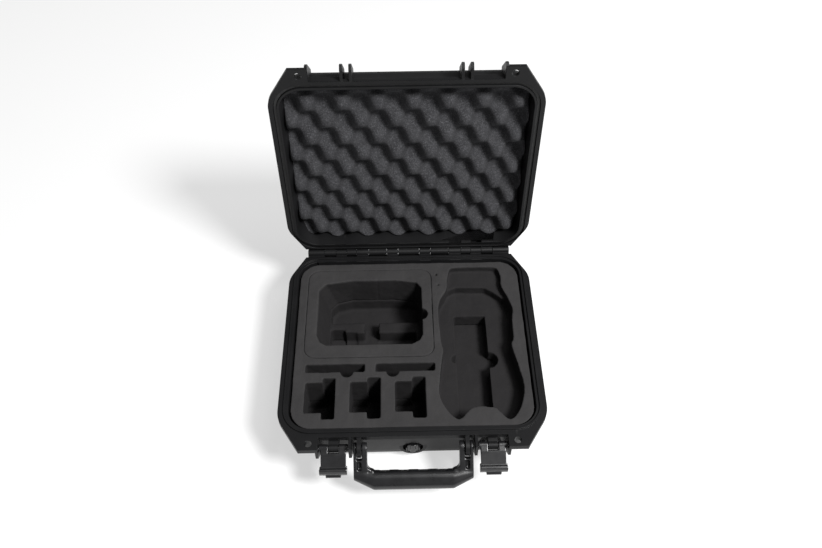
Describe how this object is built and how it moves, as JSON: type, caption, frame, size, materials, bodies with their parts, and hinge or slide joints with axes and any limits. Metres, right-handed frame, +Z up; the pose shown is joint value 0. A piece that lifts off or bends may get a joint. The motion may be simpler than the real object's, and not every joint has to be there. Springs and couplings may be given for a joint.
{
  "type": "hard carrying case",
  "caption": "Open moulded hard case with a hinged lid, latches, carrying handle and cut foam pockets for a folding camera drone, its controller and batteries.",
  "frame": {"origin": "centre of the flat face that the base rests on", "axes": "+X along the hinge to the right, +Y towards the hinge side, +Z up"},
  "size_m": [0.31, 0.3673, 0.3731],
  "materials": {
    "shell_plastic": "black moulded plastic with a fine pebbled texture",
    "latch_plastic": "smoother satin black moulded plastic",
    "foam": "closed-cell charcoal foam, matte, with a fine cell texture",
    "lid_foam": "open-cell charcoal egg-crate foam, matte",
    "pin_steel": "drawn steel rod",
    "seal_rubber": "soft black rubber",
    "membrane": "thin white breathing membrane"
  },
  "bodies": {
    "base": {"base_shell": "shell_plastic", "floor_foam": "foam", "lower_foam": "foam", "upper_foam": "foam", "controller_ring_foam": "foam", "hinge_pin": "pin_steel", "latch_pin_left": "pin_steel", "latch_pin_right": "pin_steel", "handle_pin_left": "pin_steel", "handle_pin_right": "pin_steel", "valve_body": "shell_plastic", "valve_nut": "shell_plastic", "valve_seal": "seal_rubber", "valve_membrane": "membrane"},
    "lid": {"lid_shell": "shell_plastic", "lid_seal": "seal_rubber", "lid_foam": "lid_foam"},
    "latch_left": {"latch_left": "latch_plastic"},
    "latch_right": {"latch_right": "latch_plastic"},
    "handle": {"handle": "latch_plastic"},
    "valve_knob": {"valve_knob": "latch_plastic"}
  },
  "joints": [
    {"name": "lid_hinge", "type": "hinge", "parent": "base", "child": "lid", "pos_m": [0, 0.141, 0.0802], "axis": [1, 0, 0], "range_deg": [0, 91]},
    {"name": "latch_left_hinge", "type": "hinge", "parent": "base", "child": "latch_left", "pos_m": [-0.09, -0.141, 0.068], "axis": [1, 0, 0], "range_deg": [-125, 0]},
    {"name": "latch_right_hinge", "type": "hinge", "parent": "base", "child": "latch_right", "pos_m": [0.09, -0.141, 0.068], "axis": [1, 0, 0], "range_deg": [-125, 0]},
    {"name": "handle_hinge", "type": "hinge", "parent": "base", "child": "handle", "pos_m": [0, -0.142, 0.068], "axis": [1, 0, 0], "range_deg": [-42, 48]},
    {"name": "valve_turn", "type": "hinge", "parent": "base", "child": "valve_knob", "pos_m": [0, -0.1225, 0.03], "axis": [0, -1, 0], "range_deg": [0, 360]}
  ]
}
